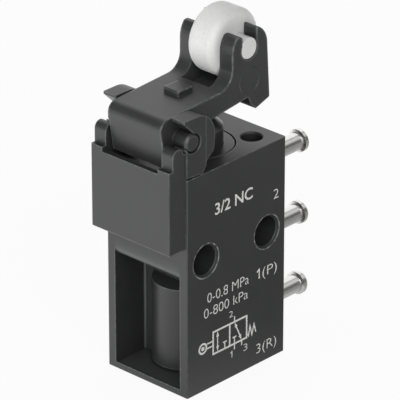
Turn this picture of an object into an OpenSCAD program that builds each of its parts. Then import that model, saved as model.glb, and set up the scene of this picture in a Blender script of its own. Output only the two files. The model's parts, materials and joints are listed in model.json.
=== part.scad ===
// Roller lever air valve: a small 3/2-way poppet valve in a moulded body. A roller on a
// snap-in lever presses the button, the stem closes the exhaust and opens the supply.
// Frame: X across the body, front face towards -Y, hose barbs towards +Y, Z up,
// origin in the middle of the bottom face. All sizes in millimetres.

/* [Body] */
// Width of the body, across the mounting holes' axes
body_w = 18; // [17.6:0.2:22]
// Depth of the body, front face to back face
body_d = 23.5; // [23:0.5:28]
// Height of the body
body_h = 39.5; // [39:0.5:46]
// Radius of the upright edges of the body
body_edge_r = 0.25; // [0.2:0.05:0.8]
// Diameter of the blind locating hole in the top face
locating_hole_d = 3.6; // [2.5:0.1:4]
// Depth of the blind locating hole
locating_hole_depth = 5; // [3:0.5:6]
// Distance of the locating hole from the back face
locating_hole_back = 3.95; // [3:0.05:4.5]
// Distance of the locating hole from the side face
locating_hole_side = 4; // [3:0.1:4.4]
// Chamfer round the locating hole
locating_chamfer = 0.2; // [0.1:0.05:0.3]

/* [Front pocket] */
// Wall left on each side of the pocket
pocket_side_wall = 1.7; // [1.2:0.1:2.4]
// Wall left under the pocket
pocket_bottom_wall = 1.1; // [0.8:0.1:2]
// Height of the pocket's mouth
pocket_h = 19.8; // [17:0.2:21]
// Depth of the pocket from the front face
pocket_depth = 7; // [4:0.25:7.2]
// Radius of the half-round column in the pocket
column_r = 5.4; // [4.5:0.1:6]
// Height of the half-round column
column_h = 14.8; // [10:0.2:15.5]
// Height of the column's foot above the pocket's bottom
column_foot = 0.4; // [0.3:0.1:2]
// Depth of the column's axis behind the pocket's back wall
column_sink = 1.8; // [0.5:0.1:2]
// Radius of the pocket's upper edge
pocket_lip_r = 1.6; // [0.5:0.1:1.8]
// Radius of the pocket's rear corners
pocket_corner_r = 0.4; // [0.3:0.1:1]

/* [Mounting holes] */
// Diameter of the two through holes
mount_hole_d = 5.2; // [4.2:0.1:5.4]
// Distance between the two through holes
mount_spacing = 14.6; // [14:0.1:15]
// Depth of the through holes' axes below the top face
mount_drop = 15.8; // [14.5:0.1:17.5]
// Chamfer round the through holes
mount_chamfer = 0.4; // [0.2:0.1:0.6]
// Wall round the front through hole where it crosses the pocket
mount_wall = 0.9; // [0.6:0.1:1.4]

/* [Ports] */
// Distance between neighbouring ports
port_pitch = 13.35; // [13:0.05:13.5]
// Depth of the upper port's axis, the outlet, below the top face
port_drop = 8.05; // [7.8:0.05:8.4]
// Diameter of the drilling from a port to its chamber
port_drill_d = 2.5; // [1.5:0.1:3]
// Reach of a hose barb beyond the back face
barb_reach = 14.15; // [10:0.05:18]
// Diameter of a barb's shank
barb_shank_d = 3.2; // [2.8:0.1:3.6]
// Diameter of a barb's rim
barb_rim_d = 4.1; // [3.8:0.1:4.6]
// Length of the rim's round land
barb_rim_land = 0.7; // [0.5:0.1:1.2]
// Length of the tapered nose ahead of the rim
barb_nose = 0.6; // [0.5:0.1:1.5]
// Diameter of the bore through a barb
barb_bore_d = 2; // [1.5:0.1:2.2]
// Diameter of a barb's pressed root
barb_root_d = 4.4; // [4:0.1:4.6]
// Depth of a barb's root in the body
barb_root_len = 5.2; // [4:0.1:5.4]

/* [Valve bore] */
// Diameter of the main bore
bore_d = 7.6; // [7.4:0.1:7.8]
// Diameter of the exhaust chamber under the guide sleeve
exhaust_bore_d = 5.6; // [5:0.1:6]
// Thickness of the body under the exhaust chamber
bore_floor = 2.2; // [1.6:0.1:2.6]
// Height of the supply chamber, guide sleeve to seat
supply_h = 7; // [6.8:0.1:7.4]
// Height of the guide sleeve's sealing ring
guide_h = 4; // [3.4:0.1:4.4]
// Height of the seat insert
seat_h = 6; // [5:0.1:6.4]
// Diameter of the gland in the top face
gland_d = 13; // [12.4:0.1:13.4]
// Depth of the gland below the top face
gland_depth = 5.5; // [5.2:0.1:5.8]
// Chamfer round the gland's top
gland_chamfer = 0.3; // [0.1:0.05:0.4]
// Clearance round each insert in its bore
insert_gap = 0.05; // [0.03:0.01:0.08]
// Diameter of the valve stem
stem_d = 2.6; // [2.2:0.1:2.8]
// Lost motion between the stem's tip and the poppet
stem_gap = 0.6; // [0.4:0.05:0.8]
// Outer diameter of the poppet's tube
poppet_tube_d = 3.1; // [2.8:0.1:3.3]
// Bore of the poppet's tube
poppet_bore_d = 1.7; // [1.2:0.1:1.8]
// Diameter of the poppet's head
poppet_head_d = 5.6; // [5.4:0.1:5.8]
// Running clearance of every sliding or turning fit, on the radius
run_gap = 0.05; // [0.03:0.01:0.08]

/* [Springs] */
// Wire of the return spring under the button
return_wire_d = 0.5; // [0.4:0.05:0.6]
// Wire of the poppet spring
poppet_wire_d = 0.35; // [0.25:0.05:0.4]
// Turns of the return spring
return_turns = 5; // [4:0.5:6]
// Turns of the poppet spring
poppet_turns = 5.5; // [4:0.5:6]

/* [Button] */
// Diameter of the push button
button_d = 8.8; // [8:0.1:9.2]
// Height of the button's domed end
button_dome = 1.9; // [1:0.1:2.4]
// Wall of the hollow button
button_wall = 0.8; // [0.6:0.1:1]

/* [Lever bracket] */
// Width of the bracket's front plate
bracket_w = 17.4; // [16.8:0.1:17.8]
// Thickness of the front plate
bracket_t = 3.85; // [3.5:0.05:4.5]
// Reach of the front plate below the body's top face
bracket_drop = 12.2; // [8:0.2:13.5]
// Rise of the front plate above the body's top face
bracket_rise = 2.5; // [2:0.1:3]
// Wall in front of the lever's apron
bracket_front_wall = 1; // [0.8:0.05:1.1]
// Depth of the notch in the plate's top edge
bracket_notch = 0.8; // [0.4:0.1:1.2]
// Gap between an ear and the lever's side
ear_side_gap = 0.35; // [0.25:0.05:0.45]
// Inset of the ears from the body's sides
ear_inset = 0.05; // [0:0.05:0.2]
// Distance of the pivot behind the body's front face
pivot_back = 1.55; // [1.2:0.05:2]
// Height of the pivot above the body's top face
pivot_h = 6.1; // [5.9:0.05:6.6]
// Diameter of the lever's pivot pins
pivot_d = 3.3; // [3:0.1:3.5]
// Outer radius of an ear round its bearing
ear_r = 4.5; // [4.1:0.1:4.8]
// Height of an ear's waist above the body's top face
ear_waist_h = 3.2; // [2.8:0.1:3.4]
// Distance of the step in an ear's outer side behind the pivot
ear_step_back = 3; // [2.6:0.1:3.4]
// Height of the gap under an ear's outer edge
foot_gap_h = 0.4; // [0.2:0.05:0.6]
// Height of a front post above the plate's top edge
post_h = 3.5; // [3.2:0.1:3.8]

/* [Lever] */
// Width of the lever
lever_w = 11.7; // [11.4:0.1:12]
// Height of the lever's top face above the pivot
lever_rise = 4.24; // [4:0.02:4.6]
// Depth of the lever's side walls at the pivot
lever_depth = 4.44; // [4.2:0.02:4.8]
// Slope of the lever's top face
lever_top_slope = 3; // [1:0.5:4]
// Slope of the lever's underside
lever_under_slope = 7; // [6:0.5:8]
// Distance behind the pivot at which the side walls' underside starts
beam_back = 4.2; // [3.8:0.1:4.6]
// Reach of the apron ahead of the pivot
apron_reach = 4.6; // [4.3:0.05:4.7]
// Reach of the apron below the pivot
apron_drop = 4.6; // [3.8:0.1:4.8]
// Thickness of the apron
apron_t = 1.6; // [1.2:0.1:1.8]
// Lean of the apron's front face
apron_lean = 9.6; // [9:0.2:12]
// Thickness of the lever's top plate
lever_plate_t = 1.6; // [1.2:0.1:2]
// Gap between the two fork arms
fork_gap = 6.1; // [5.6:0.1:6.6]
// Outer radius of the fork's prongs round the roller's axle
fork_r = 4; // [3.9:0.05:4.2]
// Thickness of the side walls ahead of the fork
lever_wall = 1.8; // [1.4:0.1:2.2]
// Thickness of the web under the roller
web_t = 1.3; // [1:0.1:1.6]
// Width of the raised pad and of the cam below it
pad_w = 3.4; // [2.5:0.1:4]
// Distance of the raised pad behind the pivot
pad_back = 4.1; // [3.8:0.1:5]
// Length of the raised pad
pad_l = 3.6; // [2.5:0.1:5]
// Height of the raised pad
pad_h = 0.9; // [0.5:0.1:1.2]
// Radius of the cam that rests on the button
cam_r = 2; // [1.6:0.1:2.2]
// Gap between cam and button at rest
cam_gap = 0.05; // [0.03:0.01:0.08]
// Travel of the lever
lever_travel = 12; // [8:0.5:12]

/* [Roller] */
// Diameter of the roller
roller_d = 11.8; // [10:0.1:12]
// Gap between the roller and each fork arm
roller_side_gap = 0.15; // [0.1:0.05:0.3]
// Radius of the roller's edges
roller_edge_r = 1.4; // [0.5:0.1:1.6]
// Diameter of the roller's stub axles
axle_d = 3.7; // [3:0.1:3.9]
// Distance of the roller's axis behind the pivot
roller_reach = 16.5; // [15.5:0.1:18]
// Height of the roller's axis above the pivot
roller_rise = 10.3; // [10:0.1:11.5]
// Gap between the roller and the scoop below it
scoop_gap = 0.6; // [0.4:0.1:1]

/* [Hidden] */

$fn = 64;
cut = 0.1;
black = "#2d2e30";
white = "#e6e6e3";
nickel = "#c4c4c0";
steel = "#a9adb0";
brass = "#b59a58";
rubber = "#17181a";
acetal = "#d9d6cc";

front_y = -body_d/2;
back_y = body_d/2;
side_x = body_w/2;
pocket_back_y = front_y + pocket_depth;
mount_r = mount_hole_d/2;
mount_hole_z = body_h - mount_drop;
outlet_z = body_h - port_drop;
port_z = [outlet_z - port_pitch, outlet_z, outlet_z - 2*port_pitch];

// Levels of the valve stack, from the exhaust chamber up to the gland
guide_z = port_z[0] - supply_h/2 - guide_h;
seat_z = port_z[0] + supply_h/2;
seat_top_z = seat_z + seat_h;
gland_z = body_h - gland_depth;
gland_nose = 1;
nose_z = gland_z - gland_nose;
cup_floor_t = 1.9;
cup_z = gland_z + cup_floor_t;
insert_r = bore_d/2 - insert_gap;
gland_r = gland_d/2 - insert_gap;

// Ring seals: radius of the cord and the slack of a groove
seal_r = 0.45;
groove_slack = 0.05;
groove_h = 2*seal_r + 2*groove_slack;
groove_in = 2*seal_r + groove_slack;
seal_free = 0.02;
press_gap = 0.01;
stem_seal_z = (nose_z + cup_z)/2;
gland_seal_z = cup_z + 1.2;
seat_seal_z = seat_z + seat_h/2;
tube_seal_z = guide_z + guide_h/2;
guide_seal_z = tube_seal_z - groove_h/2 - 0.3;

// Poppet, its disc and the seat's lip
lip_h = 0.5;
lip_w = 0.4;
orifice_r = stem_d/2 + 0.6;
disc_t = 1.2;
disc_top_z = seat_z - lip_h;
disc_z = disc_top_z - disc_t;
head_t = 1.1;
head_z = disc_z - head_t;
cup_lip_w = 0.18;
cup_lip_h = 0.9;
tube_tail = 2.4;
tube_end_z = guide_z - tube_tail;
skirt_wall = 0.72;
window_w = 3;
window_inset = 1.2;

// Pivot and roller axis, and the two faces of the lever as lines through them
pivot = [front_y + pivot_back, body_h + pivot_h];
hub = [pivot[0] + roller_reach, pivot[1] + roller_rise];
function top_z(y) = pivot[1] + lever_rise + (y - pivot[0])*tan(lever_top_slope);
function under_z(y) = pivot[1] + lever_rise - lever_depth + (y - pivot[0])*tan(lever_under_slope);
lever_x = lever_w/2;
arm_in_x = fork_gap/2;
cam_z = under_z(0);
pivot_r = pivot_d/2;
axle_r = axle_d/2;
throat_grip = 0.15;
throat = axle_r - throat_grip;
well_ahead = 2.6;
fork_y = hub[0] - fork_r;
well_y = fork_y - well_ahead;
end_inset = 0.1;

// Button, driven down by the cam over the lever's travel
button_top_z = cam_z - cam_r - cam_gap;
button_r = button_d/2;
button_travel = -pivot[0]*sin(lever_travel) + (cam_z - pivot[1])*(1 - cos(lever_travel));
overtravel = 0.3;
roof_t = 0.9;
stem_cover = 0.4;
spring_side_gap = 0.2;
skirt_z = cup_z + button_travel + overtravel;
button_roof_z = button_top_z - button_dome - roof_t;
stem_top_z = button_top_z - button_dome/2 - stem_cover;
stem_tip_z = disc_top_z + stem_gap;

// Bracket levels and planes
plate_y = front_y - bracket_t;
plate_top_z = body_h + bracket_rise;
ear_in_x = lever_x + ear_side_gap;
ear_out_x = side_x - ear_inset;
post_r = 1.2;
post_set_back = 0.9;
post_y = plate_y + post_set_back;
key_neck_w = 5;
key_head_w = 7;
key_neck_l = 1.1;
key_head_l = 1.2;
key_h = 9;

// Arc points that round the corner b between a and c with radius r
function unit(v) = v/norm(v);
function corner(a, b, c, r, steps = 8) =
    let (u = unit(a - b), w = unit(c - b), half = acos(u*w)/2)
    let (centre = b + unit(u + w)*r/sin(half))
    let (p = b + u*r/tan(half) - centre, q = b + w*r/tan(half) - centre)
    [for (i = [0:steps]) centre + unit(p*(steps - i) + q*i)*r];

// Outline with every corner [y, z, radius] rounded; a radius of 0 stays sharp
function rounded(pts) = [
    for (i = [0:len(pts) - 1])
        let (b = pts[i], a = pts[(i + len(pts) - 1) % len(pts)], c = pts[(i + 1) % len(pts)])
        each b[2] == 0 ? [[b[0], b[1]]] : corner([a[0], a[1]], [b[0], b[1]], [c[0], c[1]], b[2])];

// Extrudes a side view, drawn in Y and Z, from one X to another
module side_view(x0, x1) {
    translate([x0, 0, 0])
        rotate([90, 0, 90])
            linear_extrude(x1 - x0)
                children();
}

// Draws its children and their mirror image across the middle plane
module both_sides() {
    children();
    mirror([1, 0, 0])
        children();
}

// Upright cylinder between two heights, and the ring between two radii
module column(r, z0, z1) {
    translate([0, 0, z0])
        cylinder(r = r, h = z1 - z0);
}

module ring(r_out, r_in, z0, z1) {
    difference() {
        column(r_out, z0, z1);
        column(r_in, z0 - cut, z1 + cut);
    }
}

// Ring seal of round section, given by the radius of its cord's middle
module seal(r_mid, z) {
    translate([0, 0, z])
        rotate_extrude()
            translate([r_mid, 0])
                circle(r = seal_r, $fn = 24);
}

// Cross-shaped windows through the wall of a sleeve
module windows(z0, z1) {
    for (turn = [0, 90])
        rotate([0, 0, turn])
            translate([-window_w/2, -bore_d, z0])
                cube([window_w, 2*bore_d, z1 - z0]);
}

// Compression spring with closed, ground ends
module coil_spring(r_mid, wire, turns, z0, z1) {
    sides = 10;
    steps = 18;
    count = turns*steps;
    rise = z1 - z0 - wire;
    // Share of the rise reached after t turns: a flat turn at each end
    function lift(t) = min(max((t - 1)/(turns - 2), 0), 1)*rise
        + min(t, 1)*wire/2 + min(max(t - turns + 1, 0), 1)*wire/2;
    points = [for (i = [0:count]) for (k = [0:sides - 1])
        let (t = i/steps, a = 360*t, s = 360*k/sides, r = r_mid + wire/2*cos(s))
        [r*cos(a), r*sin(a), z0 + lift(t) + wire/2*sin(s)]];
    walls = [for (i = [0:count - 1]) for (k = [0:sides - 1])
        let (n = (k + 1) % sides)
        [i*sides + k, i*sides + n, (i + 1)*sides + n, (i + 1)*sides + k]];
    ends = [[for (k = [sides - 1:-1:0]) k], [for (k = [0:sides - 1]) count*sides + k]];
    intersection() {
        polyhedron(points, concat(walls, ends), convexity = 10);
        column(r_mid + wire, z0, z1);
    }
}

// Round hole along X through the body, chamfered at both sides
module mount_hole(y) {
    translate([-side_x - cut, y, mount_hole_z])
        rotate([0, 90, 0])
            cylinder(r = mount_r, h = body_w + 2*cut);
    both_sides()
        translate([side_x - mount_chamfer, y, mount_hole_z])
            rotate([0, 90, 0])
                cylinder(r1 = mount_r, r2 = mount_r + mount_chamfer + cut, h = mount_chamfer + cut);
}

// Blind hole in the top face, chamfered at its mouth
module locating_hole() {
    r = locating_hole_d/2;
    translate([side_x - locating_hole_side, back_y - locating_hole_back, 0]) {
        column(r, body_h - locating_hole_depth, body_h + cut);
        translate([0, 0, body_h - locating_chamfer])
            cylinder(r1 = r, r2 = r + locating_chamfer + cut, h = locating_chamfer + cut);
    }
}

// Body blank: a block with rounded upright edges
module body_blank() {
    linear_extrude(body_h)
        polygon(rounded([
            [-side_x, front_y, body_edge_r],
            [side_x, front_y, body_edge_r],
            [side_x, back_y, body_edge_r],
            [-side_x, back_y, body_edge_r]]));
}

// Open pocket in the front face, round the half-round column and the front hole's wall
module front_pocket() {
    x = side_x - pocket_side_wall;
    difference() {
        translate([0, 0, pocket_bottom_wall])
            linear_extrude(pocket_h)
                polygon(rounded([
                    [-x, front_y - cut, 0],
                    [x, front_y - cut, 0],
                    [x, pocket_back_y, pocket_corner_r],
                    [-x, pocket_back_y, pocket_corner_r]]));
        translate([0, pocket_back_y + column_sink, 0])
            column(column_r, pocket_bottom_wall + column_foot, pocket_bottom_wall + column_foot + column_h);
        translate([-side_x, -mount_spacing/2, mount_hole_z])
            rotate([0, 90, 0])
                cylinder(r = mount_r + mount_wall, h = body_w);
    }
    side_view(-x, x)
        translate([front_y, pocket_bottom_wall + pocket_h])
            difference() {
                translate([-cut, -cut])
                    square(pocket_lip_r + cut);
                translate([pocket_lip_r, pocket_lip_r])
                    circle(r = pocket_lip_r);
            }
}

// Stepped bore from the top face, with a drilling and a socket for each port
module valve_bore() {
    column(gland_d/2, gland_z, body_h + cut);
    column(bore_d/2, guide_z, gland_z + cut);
    column(exhaust_bore_d/2, bore_floor, guide_z + cut);
    for (z = port_z) {
        translate([0, 0, z])
            rotate([-90, 0, 0])
                cylinder(d = port_drill_d, h = back_y);
        translate([0, back_y - barb_root_len, z])
            rotate([-90, 0, 0])
                cylinder(r = barb_root_d/2 + press_gap, h = barb_root_len + cut);
    }
}

// T-shaped key of the bracket; its slot is wider by a gap and runs out above the body
module bracket_key(gap = 0, above = 0) {
    head_y = front_y + key_neck_l;
    h = key_h + gap + above;
    translate([-key_neck_w/2 - gap, front_y - cut, body_h - key_h - gap])
        cube([key_neck_w + 2*gap, key_neck_l + 2*cut, h]);
    translate([-key_head_w/2 - gap, head_y - gap, body_h - key_h - gap])
        cube([key_head_w + 2*gap, key_head_l + 2*gap, h]);
}

module valve_body() {
    color(black)
        difference() {
            body_blank();
            front_pocket();
            valve_bore();
            for (y = [-mount_spacing/2, mount_spacing/2])
                mount_hole(y);
            locating_hole();
            bracket_key(gap = insert_gap, above = cut);
        }
}

// Side view of an ear: a lobe round the bearing, a lip above its mouth and a slanted foot
module ear_lobe() {
    lobe = pivot + [0.8, -0.1];
    lip_reach = 2.1;
    lip_edge = 0.5;
    lip_tip = [pivot[0] - lip_reach, lobe[1] + ear_r];
    mouth_low_z = pivot[1] - 0.6;
    mouth_back = pivot + [0.2, pivot_r];
    foot_l = 3.65;
    foot_slant = [1.5, 2.2];
    waist_r = 1.2;
    ahead_y = pivot[0] - 2*ear_r;
    difference() {
        union() {
            translate(lobe)
                circle(r = ear_r);
            translate([lip_tip[0], pivot[1]])
                square([lobe[0] - lip_tip[0], lip_tip[1] - pivot[1]]);
            polygon(rounded([
                [front_y, body_h, 0],
                [front_y + foot_l, body_h, 0],
                [front_y + foot_l + foot_slant[0], body_h + foot_slant[1], 0],
                [lobe[0] + ear_r - lip_edge/2, body_h + ear_waist_h, waist_r],
                [lobe[0] + ear_r, lobe[1], 0],
                [front_y, lobe[1], 0]]));
        }
        polygon([
            [pivot[0], mouth_low_z],
            mouth_back,
            [lip_tip[0], lip_tip[1] - lip_edge],
            [ahead_y, lip_tip[1] - lip_edge],
            [ahead_y, mouth_low_z]]);
        translate([ahead_y, body_h - cut])
            square([front_y - ahead_y, mouth_low_z - body_h + 2*cut]);
    }
}

// Side view of the post in front of the bearing, with a round top
module post() {
    post_top_z = plate_top_z + post_h;
    translate([post_y, body_h])
        square([front_y - post_y + 2*cut, post_top_z - post_r - body_h]);
    translate([post_y + post_r, post_top_z - post_r])
        circle(r = post_r);
}

// Round hole for a pivot pin, opened by a chamfer on the outer side
module pivot_hole() {
    flare = 0.1;
    side_view(ear_in_x - cut, ear_out_x + cut)
        translate(pivot)
            circle(r = pivot_r + run_gap);
    translate([ear_out_x - flare, pivot[0], pivot[1]])
        rotate([0, 90, 0])
            cylinder(r1 = pivot_r + run_gap, r2 = pivot_r + run_gap + flare + cut, h = flare + cut);
}

// Front plate with the notched pocket that the lever's apron dips into
module bracket_plate() {
    half = bracket_w/2;
    bottom_z = body_h - bracket_drop;
    sump = 1.5;
    back_wall = 0.9;
    edge_r = 0.2;
    difference() {
        translate([0, 0, bottom_z])
            linear_extrude(plate_top_z - bottom_z)
                polygon(rounded([
                    [-half, plate_y, edge_r],
                    [half, plate_y, edge_r],
                    [half, front_y, 0],
                    [-half, front_y, 0]]));
        translate([-ear_in_x, plate_y + bracket_front_wall, body_h])
            cube([2*ear_in_x, bracket_t, bracket_rise + cut]);
        translate([-ear_in_x, plate_y + bracket_front_wall, body_h - sump])
            cube([2*ear_in_x, bracket_t - bracket_front_wall - back_wall, sump + cut]);
        translate([-ear_in_x, plate_y - cut, plate_top_z - bracket_notch])
            cube([2*ear_in_x, bracket_t + 2*cut, bracket_notch + cut]);
    }
}

// Narrowing gap under the outer edge of an ear's foot
module foot_gap() {
    gap_in = 0.5;
    gap_l = 3.2;
    side_view(ear_out_x - gap_in, ear_out_x + cut)
        polygon([
            [front_y, body_h - cut],
            [front_y + gap_l, body_h - cut],
            [front_y + gap_l, body_h + foot_gap_h/3],
            [front_y, body_h + foot_gap_h]]);
}

module lever_bracket() {
    step_y = pivot[0] + ear_step_back;
    step_in = 0.25;
    color(black)
        difference() {
            union() {
                bracket_plate();
                bracket_key();
                both_sides() {
                    side_view(ear_in_x, ear_out_x)
                        ear_lobe();
                    side_view(ear_in_x, bracket_w/2)
                        post();
                }
            }
            both_sides() {
                pivot_hole();
                foot_gap();
                translate([ear_out_x - step_in, step_y, body_h])
                    cube([body_w, body_d, pivot_h + 2*ear_r]);
            }
        }
}

// Side view of the lever: apron, tapering beam, fork with axle slot, and heel
module lever_outline() {
    apron_y = pivot[0] - apron_reach;
    apron_z = pivot[1] - apron_drop;
    foot_y = apron_y + (top_z(apron_y) - apron_z)*tan(apron_lean);
    front_prong_z = hub[1] + 0.67*fork_r;
    prong_step = 10;
    front_turn = 30;
    back_shift = [0.25, -0.3];
    back_centre = hub + back_shift;
    back_turn = acos((throat - back_shift[0])/fork_r);
    heel = hub + [1.5, -11.1];
    heel_flank = 1.1;
    heel_y = hub[0] + fork_r + 0.85;
    beam_end_y = heel[0] - 1.8;
    beam_start_y = pivot[0] + beam_back;
    pin_cover = 0.5;
    pin_low = pivot + (pivot_r + pin_cover)*[1, -1];
    apron_root_z = pivot[1] - pivot_r - 1.5*pin_cover;
    edge_r = 0.3;
    prong_r = 0.6;
    nose_r = 1.7;
    fork_root_r = 3;
    polygon(rounded([
        [apron_y, top_z(apron_y), nose_r],
        [fork_y, top_z(fork_y), fork_root_r],
        for (a = [0:prong_step:front_turn])
            [hub[0] - fork_r*cos(a), hub[1] + fork_r*sin(a), 0],
        [hub[0] - sqrt(fork_r*fork_r - pow(front_prong_z - hub[1], 2)), front_prong_z, prong_r],
        [hub[0] - throat, front_prong_z, prong_r],
        [hub[0] - throat, hub[1], 0],
        [hub[0] + throat, hub[1], 0],
        [hub[0] + throat, back_centre[1] + fork_r*sin(back_turn), edge_r],
        for (a = [back_turn - prong_step:-prong_step:0])
            [back_centre[0] + fork_r*cos(a), back_centre[1] + fork_r*sin(a), 0],
        [heel_y, heel[1] + heel_flank, edge_r],
        [heel[0], heel[1], edge_r],
        [heel[0] - heel_flank, heel[1] + heel_flank, 0],
        [beam_end_y, under_z(beam_end_y), 0],
        [beam_start_y, under_z(beam_start_y), 0],
        [pin_low[0], pin_low[1], 1],
        [foot_y + apron_t, apron_root_z, edge_r],
        [foot_y + apron_t, apron_z, 0],
        [foot_y, apron_z, edge_r]]));
}

// Hollow under the lever's top plate, between its side walls
module lever_hollow() {
    y0 = pivot[0] + pivot_r + web_t;
    y1 = well_y - web_t;
    side_view(-lever_x + lever_wall, lever_x - lever_wall)
        polygon([
            [y0, pivot[1] - ear_r],
            [y1, pivot[1] - ear_r],
            [y1, top_z(y1) - lever_plate_t],
            [y0, top_z(y0) - lever_plate_t]]);
}

// Well between the fork arms, open at the top and the back, with a web left below it
module roller_well() {
    scoop_r = roller_d/2 + scoop_gap;
    side_view(-arm_in_x, arm_in_x) {
        translate(hub)
            circle(r = scoop_r);
        translate(hub)
            square([roller_d, roller_d]);
        polygon([
            [well_y, under_z(well_y) + web_t],
            [hub[0], hub[1] - scoop_r],
            [hub[0], hub[1] + roller_d],
            [well_y, hub[1] + roller_d]]);
    }
}

// Side view of the half-round cam under the web
module cam() {
    intersection() {
        translate([0, cam_z])
            circle(r = cam_r);
        translate([-cam_r, cam_z - cam_r])
            square([2*cam_r, cam_r + web_t/2]);
    }
}

// Raised pad with rounded upright corners and bevelled upper edges
module pad() {
    y0 = pivot[0] + pad_back;
    y1 = y0 + pad_l;
    z0 = top_z(y0) - cut;
    z1 = top_z(y0) + pad_h;
    bevel = 0.25;
    corner_r = 0.4;
    intersection() {
        side_view(-pad_w/2, pad_w/2)
            polygon([
                [y0, z0],
                [y1, z0],
                [y1, z1 - bevel],
                [y1 - bevel, z1],
                [y0 + bevel, z1],
                [y0, z1 - bevel]]);
        linear_extrude(z1 + cut)
            polygon(rounded([
                [-pad_w/2, y0, corner_r],
                [pad_w/2, y0, corner_r],
                [pad_w/2, y1, corner_r],
                [-pad_w/2, y1, corner_r]]));
    }
}

module roller_lever() {
    color(black) {
        difference() {
            side_view(-lever_x, lever_x)
                lever_outline();
            lever_hollow();
            roller_well();
            side_view(-lever_x - cut, lever_x + cut)
                translate(hub)
                    circle(r = axle_r + run_gap);
        }
        side_view(-pad_w/2, pad_w/2)
            cam();
        pad();
        pivot_pins();
    }
}

// Pivot pins moulded on the lever's sides, chamfered at their ends
module pivot_pins() {
    chamfer = 0.4;
    end_x = ear_out_x - end_inset;
    both_sides()
        translate([0, pivot[0], pivot[1]])
            rotate([0, 90, 0]) {
                translate([0, 0, lever_x - cut])
                    cylinder(r = pivot_r, h = end_x - chamfer - lever_x + cut);
                translate([0, 0, end_x - chamfer])
                    cylinder(r1 = pivot_r, r2 = pivot_r - chamfer, h = chamfer);
            }
}

// Roller with rounded edges and its stub axles, turned about X
module roller() {
    r = roller_d/2;
    half = fork_gap/2 - roller_side_gap;
    axle_end = lever_x - end_inset;
    axle_edge_r = 0.2;
    color(white)
        translate([0, hub[0], hub[1]])
            rotate([0, 90, 0])
                rotate_extrude()
                    polygon(rounded([
                        [0, -axle_end, 0],
                        [axle_r, -axle_end, axle_edge_r],
                        [axle_r, -half, 0],
                        [r, -half, roller_edge_r],
                        [r, half, roller_edge_r],
                        [axle_r, half, 0],
                        [axle_r, axle_end, axle_edge_r],
                        [0, axle_end, 0]]));
}

// Hollow button with a domed end
module push_button() {
    shoulder_z = button_top_z - button_dome;
    dome_r = (button_r*button_r + button_dome*button_dome)/(2*button_dome);
    boss_r = stem_d/2 + 0.7;
    boss_inset = 0.8;
    color(black)
        difference() {
            intersection() {
                column(button_r, skirt_z, button_top_z + cut);
                union() {
                    column(button_r + cut, skirt_z - cut, shoulder_z);
                    translate([0, 0, button_top_z - dome_r])
                        sphere(r = dome_r, $fn = 96);
                }
            }
            ring(button_r - button_wall, boss_r, skirt_z - cut, button_roof_z);
            column(boss_r + cut, skirt_z - cut, skirt_z + boss_inset);
            column(stem_d/2 + press_gap, skirt_z - cut, stem_top_z);
        }
}

// Stem from the button down to the poppet
module valve_stem() {
    color(steel)
        column(stem_d/2, stem_tip_z, stem_top_z);
}

// Gland with the button's guide cup, flush with the top face
module gland() {
    color(black)
        difference() {
            union() {
                column(gland_r, gland_z, body_h - gland_chamfer);
                translate([0, 0, body_h - gland_chamfer])
                    cylinder(r1 = gland_r, r2 = gland_r - gland_chamfer, h = gland_chamfer);
                column(insert_r, nose_z, gland_z + cut);
            }
            column(button_r + run_gap, cup_z, body_h + cut);
            column(stem_d/2 + run_gap, nose_z - cut, cup_z + cut);
            column(stem_d/2 + groove_in, stem_seal_z - groove_h/2, stem_seal_z + groove_h/2);
            outer_groove(gland_r, gland_seal_z);
        }
}

// Groove round an insert of radius r, for its ring seal
module outer_groove(r, z) {
    ring(r + cut, r + insert_gap - groove_in, z - groove_h/2, z + groove_h/2);
}

module gland_seal() {
    color(rubber)
        seal(gland_d/2 - seal_r - seal_free, gland_seal_z);
}

module stem_seal() {
    color(rubber)
        seal(stem_d/2 + seal_r + seal_free, stem_seal_z);
}

module return_spring() {
    mid_r = button_r - button_wall - return_wire_d/2 - spring_side_gap;
    color(steel)
        coil_spring(mid_r, return_wire_d, return_turns, cup_z, button_roof_z);
}

// Seat between supply and outlet, with a slotted collar up to the gland
module seat_insert() {
    color(brass)
        difference() {
            union() {
                column(insert_r, seat_z, nose_z);
                column(orifice_r + lip_w, seat_z - lip_h, seat_z + cut);
            }
            column(orifice_r, seat_z - lip_h - cut, seat_top_z + cut);
            column(insert_r - skirt_wall, seat_top_z, nose_z + cut);
            windows(seat_top_z + window_inset, nose_z + cut);
            outer_groove(insert_r, seat_seal_z);
        }
}

module seat_insert_seal() {
    color(rubber)
        seal(bore_d/2 - seal_r - seal_free, seat_seal_z);
}

// Poppet: a cupped head on a hollow tube that vents the outlet
module poppet() {
    head_r = poppet_head_d/2;
    color(acetal)
        difference() {
            union() {
                column(head_r, head_z, disc_z + cup_lip_h);
                column(poppet_tube_d/2, tube_end_z, head_z + cut);
            }
            column(head_r - cup_lip_w, disc_z, disc_top_z + cut);
            column(poppet_bore_d/2, tube_end_z - cut, disc_top_z);
        }
}

// Elastomer disc that closes the seat and the stem's tip
module poppet_disc() {
    color(rubber)
        ring(poppet_head_d/2 - cup_lip_w - seal_free, poppet_bore_d/2 + cut, disc_z, disc_top_z);
}

module poppet_spring() {
    mid_r = poppet_tube_d/2 + poppet_wire_d/2 + spring_side_gap;
    color(steel)
        coil_spring(mid_r, poppet_wire_d, poppet_turns, guide_z + guide_h, head_z);
}

// Guide of the poppet's tube, with a slotted skirt that carries the seat
module guide_sleeve() {
    top_z = guide_z + guide_h;
    color(brass)
        difference() {
            column(insert_r, guide_z, seat_z);
            column(insert_r - skirt_wall, top_z, seat_z + cut);
            column(poppet_tube_d/2 + run_gap, guide_z - cut, top_z + cut);
            column(poppet_tube_d/2 + groove_in, tube_seal_z - groove_h/2, tube_seal_z + groove_h/2);
            outer_groove(insert_r, guide_seal_z);
            windows(top_z + window_inset, seat_z - window_inset);
        }
}

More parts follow.
